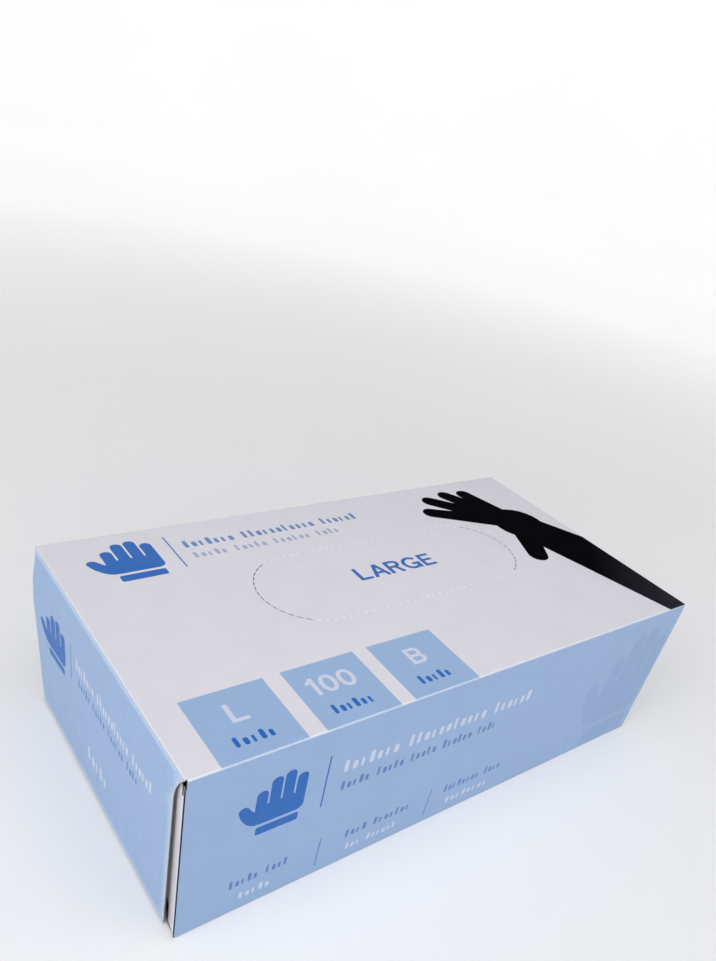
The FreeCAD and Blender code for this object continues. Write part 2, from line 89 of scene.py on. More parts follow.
class Nodes:
    """A material's node tree, with short calls for the nodes used here."""

    def __init__(self, name):
        self.material = bpy.data.materials.new(name)
        self.material.use_nodes = True
        self.tree = self.material.node_tree
        self.shader = self.tree.nodes["Principled BSDF"]
        self.place = self.tree.nodes.new("ShaderNodeTexCoord").outputs["Object"]

    def new(self, kind, **inputs):
        node = self.tree.nodes.new(kind)
        for key, value in inputs.items():
            self.set(node.inputs[key.replace("_", " ")], value)
        return node

    def set(self, socket, value):
        if isinstance(value, bpy.types.NodeSocket):
            self.tree.links.new(value, socket)
        else:
            socket.default_value = value

    def noise(self, size, detail=2.0, stretch=(1, 1, 1)):
        """Noise whose lumps are about size millimetres, longer along an axis with a small stretch."""
        mapping = self.new("ShaderNodeMapping", Vector=self.place, Scale=stretch)
        node = self.new("ShaderNodeTexNoise", Vector=mapping.outputs[0], Scale=1 / (size * MM), Detail=detail)
        return node.outputs["Fac"]

    def ramp(self, value, low, high, dark, light):
        """Maps value from low..high to the colours or numbers dark..light."""
        node = self.tree.nodes.new("ShaderNodeValToRGB")
        self.tree.links.new(value, node.inputs["Fac"])
        stops = node.color_ramp.elements
        stops[0].position, stops[1].position = low, high
        for stop, shade in zip(stops, (dark, light)):
            stop.color = shade if hasattr(shade, "__len__") else (shade, shade, shade, 1)
        return node.outputs["Color"]

    def mix(self, factor, first, second, kind="MIX"):
        node = self.tree.nodes.new("ShaderNodeMix")
        node.data_type = "RGBA"
        node.blend_type = kind
        self.set(node.inputs["Factor"], factor)
        self.set(node.inputs[6], first)
        self.set(node.inputs[7], second)
        return node.outputs[2]

    def maths(self, kind, first, second):
        node = self.tree.nodes.new("ShaderNodeMath")
        node.operation = kind
        node.use_clamp = True
        self.set(node.inputs[0], first)
        self.set(node.inputs[1], second)
        return node.outputs[0]

    def bump(self, height, strength, distance, before=None):
        node = self.new("ShaderNodeBump", Strength=strength, Distance=distance * MM, Height=height)
        if before is not None:
            self.set(node.inputs["Normal"], before)
        return node.outputs["Normal"]


WHITE_LINER = linear(232, 230, 238)
# The board's grey-brown core, made darker: partly its own colour and partly painted shade of the gaps beside
# cut edges.
CUT_GREY_AND_SHADE = linear(84, 72, 62)


def coated_board(name, colour, gloss=0.42, mottle=0.035, worn_and_lit=WHITE_LINER, fade=None, ior=1.42):
    """Print on the carton's coated side: faint mottling, a fine tooth, and ink cracked off along creases,
    with a painted highlight line mixed in there.
    """
    n = Nodes(name)
    speckle = n.noise(0.55, 3.0)
    cloud = n.noise(14.0, 3.0)
    base = colour
    if fade is not None:  # a dark print that lightens towards one corner of the carton
        position = n.new("ShaderNodeSeparateXYZ", Vector=n.place)
        towards = n.maths("SUBTRACT", position.outputs["X"], position.outputs["Y"])
        base = n.ramp(towards, 0.128, 0.18, colour, fade)
    fine = n.ramp(speckle, 0.3, 0.7, 1 - mottle, 1.0)
    broad = n.ramp(cloud, 0.35, 0.65, 0.975, 1.0)
    shaded = n.mix(1.0, n.mix(1.0, base, fine, "MULTIPLY"), broad, "MULTIPLY")
    # The attribute mixes in cracked ink together with a painted highlight line along creases.
    wear_and_highlight = n.new("ShaderNodeAttribute")
    wear_and_highlight.attribute_name = "wear_and_highlight"
    chips = n.ramp(n.noise(0.9, 4.0), 0.38, 0.62, 0.6, 1.0)
    cracked_and_lit = n.maths("MULTIPLY", wear_and_highlight.outputs["Fac"], chips)
    n.set(n.shader.inputs["Base Color"], n.mix(cracked_and_lit, shaded, worn_and_lit))
    rough = n.ramp(n.noise(5.0, 4.0), 0.3, 0.7, gloss - 0.05, gloss + 0.07)
    n.set(n.shader.inputs["Roughness"], rough)
    n.shader.inputs["IOR"].default_value = ior
    tooth = n.bump(n.noise(0.4, 3.0), 0.35, 0.02)
    n.set(n.shader.inputs["Normal"], n.bump(cloud, 0.5, 0.12, tooth))
    return n.material


def bare_board():
    """The uncoated inside: grey recycled fibres, with darker and lighter flecks."""
    n = Nodes("bare_board")
    fibres = n.noise(0.35, 4.0, (0.25, 1, 1))
    flecks = n.noise(0.8, 2.0)
    base = n.ramp(fibres, 0.3, 0.7, linear(150, 142, 134), linear(186, 179, 170))
    dark = n.ramp(flecks, 0.70, 0.74, 0.0, 0.55)
    light = n.ramp(flecks, 0.26, 0.30, 0.6, 0.0)
    flecked = n.mix(light, n.mix(dark, base, linear(86, 82, 86)), linear(214, 208, 200))
    n.set(n.shader.inputs["Base Color"], flecked)
    n.set(n.shader.inputs["Roughness"], n.ramp(n.noise(3.0), 0.3, 0.7, 0.82, 0.92))
    n.shader.inputs["Specular IOR Level"].default_value = 0.2
    n.set(n.shader.inputs["Normal"], n.bump(fibres, 0.5, 0.04))
    return n.material


def cut_edge():
    """The cut edge of the board: thin grey-brown layers between pale faces, their darkest layers deepened as
    painted shade of the gaps along cut edges.
    """
    n = Nodes("cut_edge")
    layers = n.noise(0.12, 2.0, (0.2, 0.2, 1))
    n.set(n.shader.inputs["Base Color"], n.ramp(layers, 0.35, 0.65, CUT_GREY_AND_SHADE, linear(138, 128, 118)))
    n.set(n.shader.inputs["Roughness"], n.ramp(n.noise(1.0), 0.3, 0.7, 0.8, 0.95))
    n.set(n.shader.inputs["Normal"], n.bump(layers, 0.6, 0.05))
    return n.material


def dried_glue():
    n = Nodes("dried_glue")
    blobs = n.noise(3.0, 3.0)
    shade = n.ramp(blobs, 0.3, 0.7, linear(196, 182, 150), linear(226, 216, 190))
    n.set(n.shader.inputs["Base Color"], shade)
    n.set(n.shader.inputs["Roughness"], n.ramp(n.noise(1.2), 0.3, 0.7, 0.22, 0.5))
    n.set(n.shader.inputs["Normal"], n.bump(blobs, 0.6, 0.3))
    return n.material


def nitrile():
    """Black nitrile film: a satin sheen broken by fine creases and a faint bloom."""
    n = Nodes("nitrile")
    bloom = n.noise(9.0, 3.0)
    n.set(n.shader.inputs["Base Color"], n.ramp(bloom, 0.3, 0.7, linear(14, 14, 16), linear(27, 27, 30)))
    n.set(n.shader.inputs["Roughness"], n.ramp(n.noise(4.0, 4.0), 0.3, 0.7, 0.36, 0.52))
    n.shader.inputs["Specular IOR Level"].default_value = 0.5
    n.shader.inputs["Sheen Weight"].default_value = 0.05
    creases = n.noise(3.2, 5.0, (1, 0.35, 1))
    fine = n.bump(n.noise(0.5, 3.0), 0.25, 0.02)
    n.set(n.shader.inputs["Normal"], n.bump(creases, 0.45, 0.5, fine))
    return n.material


def floor_paint():
    n = Nodes("floor_paint")
    cloud = n.noise(400.0, 2.0)
    shade = n.ramp(cloud, 0.3, 0.7, linear(243, 243, 244), linear(248, 248, 249))
    n.set(n.shader.inputs["Base Color"], shade)
    n.set(n.shader.inputs["Roughness"], n.ramp(cloud, 0.3, 0.7, 0.85, 0.95))
    n.shader.inputs["Specular IOR Level"].default_value = 0.1
    n.shader.inputs["Emission Color"].default_value = (1, 1, 1, 1)
    away = n.new("ShaderNodeVectorMath", Vector=n.place)
    away.operation = "LENGTH"
    far = n.maths("DIVIDE", away.outputs["Value"], 2.5)
    n.set(n.shader.inputs["Emission Strength"], n.ramp(far, 0.07, 0.45, 0.1, 0.46))
    return n.material


# Each ink's worn_and_lit colour is bare liner showing through cracked ink, and also the painted highlight
# along creases.
INKS = {
    "white": coated_board("white_board", linear(224, 222, 231), worn_and_lit=linear(247, 246, 250)),
    "blue": coated_board("blue_board", linear(152, 181, 220), worn_and_lit=linear(222, 230, 243)),
    "strong_blue": coated_board("strong_blue_ink", linear(10, 100, 188)),
    "text_blue": coated_board("text_blue_ink", linear(96, 136, 194)),
    "pale_text": coated_board("pale_text_ink", linear(164, 174, 206)),
    "white_text": coated_board("white_text_on_blue", linear(206, 214, 233)),
    "blue_text": coated_board("blue_text_on_blue", linear(84, 128, 192)),
    "shade_blue": coated_board("shade_blue_ink", linear(144, 173, 214)),
    "black": coated_board(
        "black_ink", linear(3, 3, 7), 0.6, 0.2, worn_and_lit=linear(90, 90, 98), fade=linear(44, 46, 54), ior=1.04
    ),
    # Painted light at the perforation: a white painted highlight where a burr would catch light, and a dark
    # grey that is painted shade on white board and a painted glint on the black hand.
    "burr_highlight": coated_board("painted_burr_highlight", linear(255, 255, 255)),
    "cut_shade_and_glint": coated_board("painted_cut_shade_and_glint", linear(82, 80, 84)),
    # Navy painted shade for the dark groove between a wall and its dust flap, not a printed ink.
    "groove_shade": coated_board("navy_painted_groove_shade", linear(20, 26, 52), worn_and_lit=linear(20, 26, 52), ior=1.2),
    "bare": bare_board(),
    "edge": cut_edge(),
}
GLUE = dried_glue()
NITRILE = nitrile()

# ----------------------------------------
# Flat outlines


def arc(across, down, radius, start, end, steps=6):
    """Points on an arc, from one angle to another in degrees."""
    angles = np.radians(np.linspace(start, end, steps + 1))
    return [(across + radius * math.cos(a), down + radius * math.sin(a)) for a in angles]


def bar(left, top, right, bottom, radius=0.0):
    """A rectangle with rounded corners. A radius over half its height gives round ends."""
    r = min(radius, (right - left) / 2, (bottom - top) / 2)
    if r <= 0:
        return [(left, top), (right, top), (right, bottom), (left, bottom)]
    corners = [(right - r, bottom - r), (left + r, bottom - r), (left + r, top + r), (right - r, top + r)]
    return [p for i, (x, y) in enumerate(corners) for p in arc(x, y, r, 90 * i, 90 * i + 90, 5)]


def through(nodes, samples):
    """A smooth line of any number of columns through the nodes."""
    p = np.array(nodes, float)
    p = np.vstack([2 * p[0] - p[1], p, 2 * p[-1] - p[-2]])
    line = []
    for i in range(1, len(p) - 2):
        a, b, c, d = p[i - 1 : i + 3]
        for t in np.linspace(0, 1, samples, endpoint=False):
            curve = 2 * b + (c - a) * t + (2 * a - 5 * b + 4 * c - d) * t**2 + (3 * b - a - 3 * c + d) * t**3
            line.append(curve / 2)
    return np.array(line + [p[-2]])


def stroke(nodes, samples=5):
    """The outline of a stroke through (across, down, radius) nodes, round at its first end."""
    line = through(nodes, samples)
    along = np.gradient(line[:, :2], axis=0)
    along /= np.linalg.norm(along, axis=1)[:, None]
    side = np.stack([-along[:, 1], along[:, 0]], 1) * line[:, 2:]
    start = math.degrees(math.atan2(side[0, 1], side[0, 0]))
    tip = arc(line[0, 0], line[0, 1], line[0, 2], start, start + 180, 8)
    left = [tuple(p) for p in (line[:, :2] + side)[::-1]]
    right = [tuple(p) for p in (line[:, :2] - side)]
    return left[:-1] + tip + right[1:]


def fitted(loops, left, top, right, bottom):
    """Loops moved and stretched to fill a rectangle."""
    points = np.array([p for loop in loops for p in loop])
    low, high = points.min(0), points.max(0)
    scale = np.array([right - left, bottom - top]) / (high - low)
    return [[tuple((np.array(p) - low) * scale + (left, top)) for p in loop] for loop in loops]


def boundary_edges(triangles):
    """The directed edges that only one triangle has."""
    directed = {(t[i], t[(i + 1) % 3]) for t in triangles for i in range(3)}
    return [(a, b) for a, b in directed if (b, a) not in directed]


def oval(across, down, wide, high, start, end, steps=12):
    """Points on part of an ellipse, between two angles in degrees."""
    angles = np.radians(np.linspace(start, end, steps + 1))
    return [(across + wide * math.cos(a), down + high * math.sin(a)) for a in angles]


def ribbon(points, half):
    """The outline of a line drawn with a flat pen."""
    line = np.array(points, float)
    along = np.gradient(line, axis=0)
    along /= np.linalg.norm(along, axis=1)[:, None]
    side = np.stack([-along[:, 1], along[:, 0]], 1) * half
    return [tuple(p) for p in line + side] + [tuple(p) for p in (line - side)[::-1]]


def glyph_lines(letter):
    """A plain block letter or number as pen lines, one unit tall, and how wide it is with its space."""
    pen = 0.085
    stem = [(pen, 0), (pen, 1)]
    upper_bowl = [(pen, pen), (0.38, pen)] + oval(0.40, 0.29, 0.205, 0.205, -90, 90) + [(pen, 0.495)]
    if letter == "L":
        return 0.68, [stem, [(0, 1 - pen), (0.60, 1 - pen)]]
    if letter == "A":
        return 0.84, [[(0.08, 1), (0.38, 0)], [(0.70, 1), (0.40, 0)], [(0.20, 0.68), (0.58, 0.68)]]
    if letter == "R":
        return 0.80, [stem, upper_bowl, [(0.40, 0.50), (0.62, 1)]]
    if letter == "G":
        curve = oval(0.44, 0.5, 0.355, 0.415, -38, -325, 22)
        return 0.94, [curve, [(0.75, 0.53), (0.75, 0.98)], [(0.46, 0.58), (0.83, 0.58)]]
    if letter == "E":
        rungs = [[(0, pen), (0.60, pen)], [(0, 0.49), (0.56, 0.49)], [(0, 1 - pen), (0.62, 1 - pen)]]
        return 0.72, [stem] + rungs
    if letter == "B":
        lower_bowl = [(pen, 0.495), (0.38, 0.495)] + oval(0.42, 0.705, 0.21, 0.21, -90, 90) + [(pen, 1 - pen)]
        return 0.76, [stem, upper_bowl, lower_bowl]
    if letter == "1":
        return 0.56, [[(0.34, 0), (0.34, 1)], [(0.08, 0.27), (0.24, 0.20), (0.34, 0.06)]]
    halves = [oval(0.33, 0.5, 0.245, 0.415, start, start + 180) for start in (90, 270)]
    return 0.74, halves


def letters(text, left, top, right, bottom):
    """Plain block lettering that fills a rectangle."""
    loops = []
    start = 0.0
    for letter in text:
        advance, lines = glyph_lines(letter)
        loops += [ribbon([(x + start, y) for x, y in line], 0.085) for line in lines]
        start += advance
    return fitted(loops, left, top, right, bottom)


def word_ticks(left, top, right, bottom, words):
    """A line of small print, stood for by plain round-ended ticks, of which every few are taller."""
    spaces = len(words) - 1
    step = (right - left) / (sum(words) + spaces)
    rise = (bottom - top) * 0.3
    loops = []
    number = 0
    for word in words:
        for tick in range(word):
            tall = rise if tick == 0 or number % 5 == 3 else 0.0
            wide = step * (0.5 + 0.14 * math.sin(2.3 * number))
            loops.append(bar(left, top + rise - tall, left + wide, bottom, 0.45 * wide))
            left += step
            number += 1
        left += step
    return loops


def glove_mark(left, top, right, bottom):
    """A plain picture of an upright glove: four fingers, a thumb, a palm and a cuff."""
    fingers = [(0.22, 0.19), (0.40, 0.03), (0.58, 0.0), (0.76, 0.12)]
    loops = [bar(x, y, x + 0.155, 0.66, 0.078) for x, y in fingers]
    loops.append(bar(0.22, 0.45, 0.915, 0.80, 0.10))
    loops.append(stroke([(0.07, 0.44, 0.07), (0.13, 0.56, 0.085), (0.24, 0.68, 0.10), (0.36, 0.72, 0.08)], 4))
    loops.append(bar(0.27, 0.85, 0.865, 1.0, 0.03))
    return fitted(loops, left, top, right, bottom)


def hand_mark():
    """An open hand and its arm: a palm, four fingers fanned evenly and a thumb, clear of the opening."""
    palm = 14.0
    across, down = LENGTH - 25, 0.36 * WIDTH
    first_heading, fan = 209, 16
    digits = [(118, 2.1, 0.36)]
    for number, reach in enumerate((3.2, 3.2, 2.8, 2.4)):
        digits.append((first_heading + fan * number, reach, 0.3))
    loops = [arc(across, down, palm, 0, 360, 24)[:-1]]
    for heading, reach, half in digits:
        angle = math.radians(heading)
        tip = (across + reach * palm * math.cos(angle), down + reach * palm * math.sin(angle), half * palm)
        loops.append(stroke([tip, (across, down, 1.4 * half * palm)]))
    loops.append(stroke([(across, down, 0.8 * palm), (LENGTH + 10, WIDTH, 1.5 * palm)]))
    return loops


# ----------------------------------------
# Printed sheets: a flat outline cut into triangles along its print, and then bent into place


def inside(points, loop):
    """Which points lie inside a closed loop."""
    x, y = points[:, 0][:, None], points[:, 1][:, None]
    a = np.array(loop)
    b = np.roll(a, -1, 0)
    rise = np.where(a[:, 1] == b[:, 1], 1.0, b[:, 1] - a[:, 1])
    crossing = (b[:, 0] - a[:, 0]) * (y - a[:, 1]) / rise + a[:, 0]
    return (((a[:, 1] > y) != (b[:, 1] > y)) & (x < crossing)).sum(1) % 2 == 1


def nearest_gap(points, starts, ends):
    """How far each point is from the nearest of the segments."""
    nearest = np.full(len(points), np.inf)
    for a, b in zip(starts, ends):
        run = b - a
        share = np.clip(((points - a) @ run) / max(run @ run, 1e-12), 0, 1)
        nearest = np.minimum(nearest, np.linalg.norm(points - a - share[:, None] * run, axis=1))
    return nearest


def partition(outline, holes, artwork, lines, pitch):
    """Triangles of a flat shape that follow its print, and the ink of each: 0 is the sheet's own colour."""
    loops = [outline, *holes] + [loop for _, group in artwork for loop in group]
    points, edges = [], []
    for loop in loops:
        first = len(points)
        points += [tuple(p) for p in loop]
        edges += [(first + i, first + (i + 1) % len(loop)) for i in range(len(loop))]
    for a, b in lines:
        edges.append((len(points), len(points) + 1))
        points += [a, b]
    ends = np.array(points)
    low, high = ends[: len(outline)].min(0), ends[: len(outline)].max(0)
    grid = []
    for row, v in enumerate(np.arange(low[1] + pitch / 2, high[1], pitch * 0.9)):
        shift = pitch / 2 * (row % 2)
        grid += [(u, v) for u in np.arange(low[0] + pitch / 2 + shift, high[0], pitch)]
    grid = np.array(grid).reshape(-1, 2)
    pairs = np.array(edges)
    grid = grid[nearest_gap(grid, ends[pairs[:, 0]], ends[pairs[:, 1]]) > 0.3 * pitch]
    every = [Vector(p) for p in points] + [Vector(p) for p in grid]
    made = delaunay_2d_cdt(every, edges, [], 0, 1e-4)
    flat = np.array([tuple(v) for v in made[0]])
    triangles = np.array([f for f in made[2]])
    centres = flat[triangles].mean(1)
    kept = inside(centres, outline)
    for hole in holes:
        kept &= ~inside(centres, hole)
    triangles, centres = triangles[kept], centres[kept]
    ink = np.zeros(len(triangles), int)
    for number, (_, group) in enumerate(artwork, start=1):
        ink[np.any([inside(centres, loop) for loop in group], axis=0)] = number
    used, compact = np.unique(triangles, return_inverse=True)
    return flat[used], compact.reshape(triangles.shape), ink


def make_object(name, places, faces, numbers, materials, wear_and_highlight=None, angle=35):
    """A mesh object from points in millimetres."""
    mesh = bpy.data.meshes.new(name)
    mesh.from_pydata((np.array(places) * MM).tolist(), [], [tuple(int(i) for i in f) for f in faces])
    for material in materials:
        mesh.materials.append(material)
    mesh.polygons.foreach_set("material_index", np.array(numbers, np.int32))
    mesh.shade_smooth()
    mesh.set_sharp_from_angle(angle=math.radians(angle))
    if wear_and_highlight is not None:
        attribute = mesh.attributes.new("wear_and_highlight", "FLOAT", "POINT")
        attribute.data.foreach_set("value", np.array(wear_and_highlight, np.float32))
    mesh.update()
    made = bpy.data.objects.new(name, mesh)
    bpy.context.scene.collection.objects.link(made)
    return made


def build_sheet(name, outline, place, skin, artwork=(), holes=(), lines=(), pitch=6.0, wear_and_highlight=None):
    """A piece of board: printed outside, bare inside, with cut edges between them."""
    flat, triangles, ink = partition(outline, holes, artwork, lines, pitch)
    count = len(flat)
    places = np.vstack([place(flat, 0.0), place(flat, BOARD)])
    faces = [(c, b, a) for a, b, c in triangles]
    faces += [(a + count, b + count, c + count) for a, b, c in triangles]
    rim = boundary_edges([tuple(t) for t in triangles])
    faces += [(a, b, b + count, a + count) for a, b in rim]
    inks = [skin] + [colour for colour, _ in artwork] + ["bare", "edge"]
    numbers = list(ink) + [len(inks) - 2] * len(triangles) + [len(inks) - 1] * len(rim)
    worn_and_lit = np.zeros(len(flat)) if wear_and_highlight is None else wear_and_highlight(flat)
    worn_and_lit = np.concatenate([worn_and_lit, np.zeros(count)])
    return make_object(name, places, faces, numbers, [INKS[i] for i in inks], worn_and_lit)


class Side:
    """One side of the carton: its top left corner as seen from outside, and its directions."""

    def __init__(self, corner, right, down, width, height):
        self.corner, self.right, self.down = (np.array(a, float) for a in (corner, right, down))
        self.outward = np.cross(self.down, self.right)
        self.width, self.height = width, height

    def at(self, across, along, lift):
        """Places in space of flat coordinates, lifted off the side."""
        shares = [np.outer(amount, way) for amount, way in zip((across, along, lift), self.ways())]
        return self.corner + sum(shares)

    def ways(self):
        return self.right, self.down, self.outward


HALF_L, HALF_W = LENGTH / 2, WIDTH / 2
TOP = Side((-HALF_L, HALF_W, HEIGHT), (1, 0, 0), (0, -1, 0), LENGTH, WIDTH)
BOTTOM = Side((-HALF_L, -HALF_W, 0), (1, 0, 0), (0, 1, 0), LENGTH, WIDTH)
FRONT = Side((-HALF_L, -HALF_W, HEIGHT), (1, 0, 0), (0, 0, -1), LENGTH, HEIGHT)
BACK = Side((HALF_L, HALF_W, HEIGHT), (-1, 0, 0), (0, 0, -1), LENGTH, HEIGHT)
ENDS = {
    "left": Side((-HALF_L, HALF_W, HEIGHT), (0, -1, 0), (0, 0, -1), WIDTH, HEIGHT),
    "right": Side((HALF_L, -HALF_W, HEIGHT), (0, 1, 0), (0, 0, -1), WIDTH, HEIGHT),
}


def rounded(distance, depth, turn):
    """Where a crease takes a point: how far in from the corner it lies, and how much deeper than the flat."""
    angle = np.clip(1 - distance / CREASE, 0, 1) * turn
    bent = distance < CREASE
    inward = np.where(bent, CREASE - (CREASE - depth) * np.sin(angle), distance)
    deeper = np.where(bent, CREASE - (CREASE - depth) * np.cos(angle) - depth, 0.0)
    return inward, deeper


def bent(side, creases, swell):
    """A function that places a side's flat points, with its creased edges rounded and its face swollen."""

    def place(flat, depth):
        across, along = flat[:, 0].copy(), flat[:, 1].copy()
        lift = swell(across, along) - depth
        for edge, turn in creases.items():
            low = edge in ("left", "top")
            line, size = (across, side.width) if edge in ("left", "right") else (along, side.height)
            inward, deeper = rounded(line if low else size - line, depth, turn)
            line[:] = inward if low else size - inward
            lift -= deeper
        return side.at(across, along, lift)

    return place


def swollen(side, amount, ripple=0.0):
    """Full boxes bow: a swelling that is nothing along the edges, with a faint ripple in it."""

    def swell(across, along):
        u, v = across / side.width, along / side.height
        dome = np.sin(math.pi * np.clip(u, 0, 1)) ** 0.7 * np.sin(math.pi * np.clip(v, 0, 1)) ** 0.8
        waves = np.sin(9.0 * u + 2.1) * np.sin(5.0 * v + 0.7) + 0.6 * np.sin(17.0 * u - 6.0 * v)
        return dome * (amount + ripple * waves)

    return swell


def unswollen(across, along):
    """A face that stays flat."""
    return 0 * across


def edge_wear_and_highlight(side, edges, reach=0.35, strength=0.8):
    """How much the print is cracked and carries its painted highlight line: most at the listed edges, nothing
    further in than reach.
    """

    def wear_and_highlight(flat):
        across, along = flat[:, 0], flat[:, 1]
        distances = {
            "left": across,
            "right": side.width - across,
            "top": along,
            "bottom": side.height - along,
        }
        nearest = np.min([distances[e] for e in edges], axis=0)
        return strength * np.clip(1 - (nearest - 0.25) / reach, 0, 1)

    return wear_and_highlight


def fold_lines(side, edges):
    """Lines along creased edges, so that the mesh has rows where it bends and where its cracked ink and
    painted highlight end.
    """
    lines = []
    for edge in edges:
        for distance in (0.15, 0.3, 0.45, CREASE, 1.3):
            along = side.height if edge in ("left", "right") else side.width
            across = side.width if edge in ("left", "right") else side.height
            at = distance if edge in ("left", "top") else across - distance
            ends = [(at, -1.0), (at, along + 1.0)]
            if edge in ("top", "bottom"):
                ends = [(v, u) for u, v in ends]
            lines.append(tuple(ends))
    return lines


# ----------------------------------------
# The perforated opening


def slot_place(distance, inset, length, width):
    """A point on a slot-shaped line in the top's flat coordinates, at a distance along the full slot."""
    radius = width / 2
    reach = length / 2 - radius
    straight, turn = 2 * reach, math.pi * radius
    half = 1 if distance % (2 * (straight + turn)) < straight + turn else -1
    along = distance % (straight + turn)
    if along < straight:
        x, y = half * (along - reach), half * (radius - inset)
    else:
        angle = (along - straight) / radius - math.pi / 2
        x = half * (reach + (radius - inset) * math.cos(angle))
        y = -half * (radius - inset) * math.sin(angle)
    middle = (TEAR_LOW + TEAR_HIGH) / 2
    return HALF_L + middle[0] + x, HALF_W - middle[1] + y


def slot_size():
    """The opening's length, width and the length of its outline."""
    length, width = (TEAR_HIGH - TEAR_LOW)[:2] + 2 * CAD_SLIT
    return length, width, 2 * (length - width) + math.pi * width


def opening_outline():
    """The edge of the opening with its torn ties standing into it."""
    length, width, total = slot_size()
    count = round(total / TIE_PITCH)
    step = total / count
    points = []
    for i in range(count):
        middle = (i + 0.5) * step
        for shift, inset in ((-0.5, 0.0), (-0.5, SLIT - 0.02), (0.5, SLIT - 0.02), (0.5, 0.0)):
            points.append(slot_place(middle + shift * TIE_WIDTH, inset, length, width))
        points.append(slot_place(middle + step / 2, 0.0, length, width))
    return points


def cut_light_marks():
    """Flat marks beside every cut: a white painted highlight of a raised burr on the straight runs, a dark
    grey painted shade at the slot's round ends.
    """
    length, width, total = slot_size()
    count = round(total / TIE_PITCH)
    step = total / count
    reach = (step - TIE_WIDTH) / 2 - 0.2
    middle = HALF_L + (TEAR_LOW + TEAR_HIGH)[0] / 2
    pale, dark = [], []
    for i in range(count):
        across, along = slot_place(i * step, 0.0, length, width)
        at_end = abs(across - middle) > length / 2 - 11
        for loops, wide, wanted in ((pale, 0.36, not at_end), (dark, 0.12, at_end)):
            corners = ((-reach, -wide), (reach, -wide), (reach, SLIT + wide), (-reach, SLIT + wide))
            if wanted:
                loops.append([slot_place((i * step + a) % total, b, length, width) for a, b in corners])
    return pale, dark


def tear_out_outline():
    length, width, total = slot_size()
    count = 2 * round(total / TIE_PITCH)
    return [slot_place((i + 0.5) * total / count, SLIT, length, width) for i in range(count)]


# ----------------------------------------
# The print


def size_squares():
    """Three blue squares on the top that reach its front edge, each with a block letter or a number."""
    squares = [bar(left, 98.5, left + 29.4, WIDTH + 1) for left in (10.9, 46.8, 82.2)]
    marks = letters("L", 22.3, 104.9, 28.3, 113.2)
    marks += letters("100", 51.2, 104.9, 69.6, 113.2)
    marks += letters("B", 93.4, 104.9, 100.2, 113.2)
    captions = []
    for left, right, count in ((18.5, 33.0, 5), (53.5, 70.0, 6), (89.5, 104.0, 5)):
        captions += word_ticks(left, 118.4, right, 122.6, [count])
    return [
        ("blue", squares),
        ("white_text", marks),
        ("strong_blue", captions),
    ]


def top_artwork():
    pale, dark = cut_light_marks()
    text = word_ticks(52, 13.2, 137, 18.4, [7, 11, 6])
    detail = word_ticks(52.5, 22.1, 122, 26.3, [5, 5, 6, 4])
    return size_squares() + [
        ("strong_blue", glove_mark(12.5, 7.0, 40.0, 33.0)),
        ("strong_blue", [bar(46.2, 8, 46.8, 31)]),
        ("text_blue", text),
        ("pale_text", detail),
        ("strong_blue", letters("LARGE", 107, 53.7, 147.5, 62.7)),
        # Painted highlight dashes, the printed hand over them, then the dark grey painted shade dashes.
        ("burr_highlight", pale),
        ("black", hand_mark()),
        ("cut_shade_and_glint", dark),
    ]


def wall_artwork():
    """The front's print, which the back repeats."""
    title = word_ticks(57, 17.0, 148, 22.6, [7, 11, 6])
    detail = word_ticks(57.5, 27.2, 131.7, 31.4, [5, 5, 5, 6, 4])
    labels = []
    values = []
    columns = [
        (18.5, 42.0, [5, 4], 23.0, 36.0, [5]),
        (65.5, 96.7, [4, 7], 67.5, 92.0, [3, 6]),
        (114.0, 146.7, [8, 4], 117.5, 142.0, [8]),
    ]
    for left, right, label, first, last, value in columns:
        labels += word_ticks(left, 56.4, right, 60.6, label)
        values += word_ticks(first, 65.0, last, 68.8, value)
    rules = [bar(50.0, 12, 50.6, 36), bar(54.0, 54.7, 54.4, 70.3), bar(106.0, 54.7, 106.4, 70.3)]
    return [
        ("shade_blue", glove_mark(190, 7.5, 238, 72)),
        ("strong_blue", glove_mark(18.3, 11.5, 42.5, 37.0)),
        ("strong_blue", rules),
        ("white_text", title + values),
        ("blue_text", detail + labels),
    ]


def end_artwork():
    """An end's print, on its outer flap."""
    title = word_ticks(43.7, 20.4, 109, 25.4, [7, 11, 6])
    size_word = word_ticks(54, 53.5, 73, 60.5, [5])
    return [
        ("strong_blue", glove_mark(9.5, 16.5, 33, 38)),
        ("strong_blue", [bar(38.4, 17.5, 38.9, 34)]),
        ("white_text", title + size_word),
        ("blue_text", word_ticks(46, 27.8, 99, 31.6, [5, 5, 6, 4])),
    ]


# ----------------------------------------
# The tube

TOP_SWELL = swollen(TOP, 0.45, 0.10)
WALL_SWELL = swollen(FRONT, 0.5, 0.12)


def corner_bulge(across, along):
    """The front's lower left corner stands out a little, where its dust flap pushes it."""
    u, v = (across - 9) / 12, (along - 58) / 13
    window = np.clip(across / 2, 0, 1) * np.clip((HEIGHT - along) / 4, 0, 1)
    return WALL_SWELL(across, along) + 0.6 * np.exp(-(u**2) - v**2) * window


def tube_outline(side, inset):
    """A side that ends where the end flaps' creases begin."""
    return [(inset, 0), (side.width - inset, 0), (side.width - inset, side.height), (inset, side.height)]


def build_top():
    creased = {"top": HALF_CREASE, "bottom": HALF_CREASE}
    place = bent(TOP, creased, TOP_SWELL)
    opening = opening_outline()
    wear_and_highlight = edge_wear_and_highlight(TOP, ("top", "bottom", "left", "right"))
    lines = fold_lines(TOP, ("top", "bottom", "left", "right"))
    outline = tube_outline(TOP, CREASE)
    top = build_sheet("top_skin", outline, place, "white", top_artwork(), [opening], lines, 5.0, wear_and_highlight)
    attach(top, "carton")
    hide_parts("top_panel", "perforation_ties")
    return top


def build_tear_out():
    place = bent(TOP, {}, TOP_SWELL)
    panel = build_sheet("tear_out_skin", tear_out_outline(), place, "white", top_artwork(), (), (), 5.0)
    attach(panel, "tear_out")
    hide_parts("tear_out_panel")


